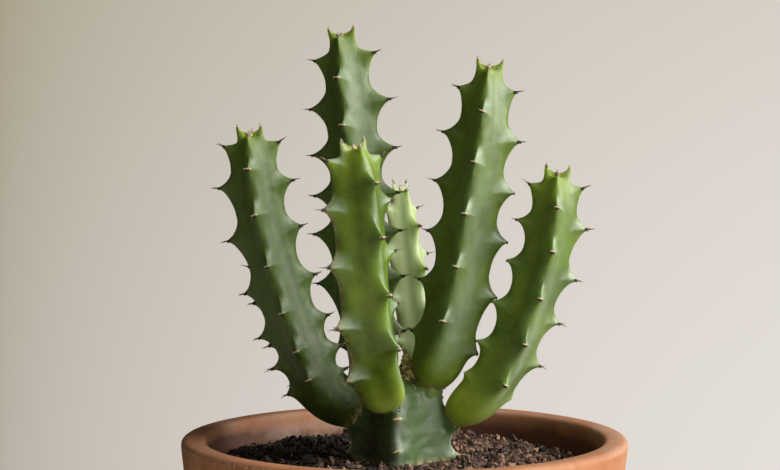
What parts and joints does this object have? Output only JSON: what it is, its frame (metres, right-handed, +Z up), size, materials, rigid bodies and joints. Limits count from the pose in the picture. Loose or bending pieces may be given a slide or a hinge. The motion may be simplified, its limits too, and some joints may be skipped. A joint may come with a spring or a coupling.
{
  "type": "potted african milk tree",
  "caption": "Young african milk tree: a short four-ribbed trunk with upright toothed, spiny green stems in a plain tapered terracotta pot of soil.",
  "frame": {"origin": "on the ground under the middle of the pot", "axes": "+Z up along the pot's axis; -Y is the side seen in the picture; stems spread left and right along X"},
  "size_m": [0.1394, 0.1394, 0.244],
  "materials": {
    "terracotta": "unglazed fired clay, matt",
    "soil": "dark crumbly potting compost",
    "trunk_green": "waxy dull green skin of an old stem",
    "stem_green": "waxy green living skin with brown spines"
  },
  "bodies": {
    "root": {"pot": "terracotta", "soil": "soil", "trunk": "trunk_green", "stem_tall_back": "stem_green", "stem_front": "stem_green", "stem_left": "stem_green", "stem_right_tall": "stem_green", "stem_right": "stem_green", "stem_back_right": "stem_green", "stem_back_left": "stem_green"}
  },
  "joints": []
}
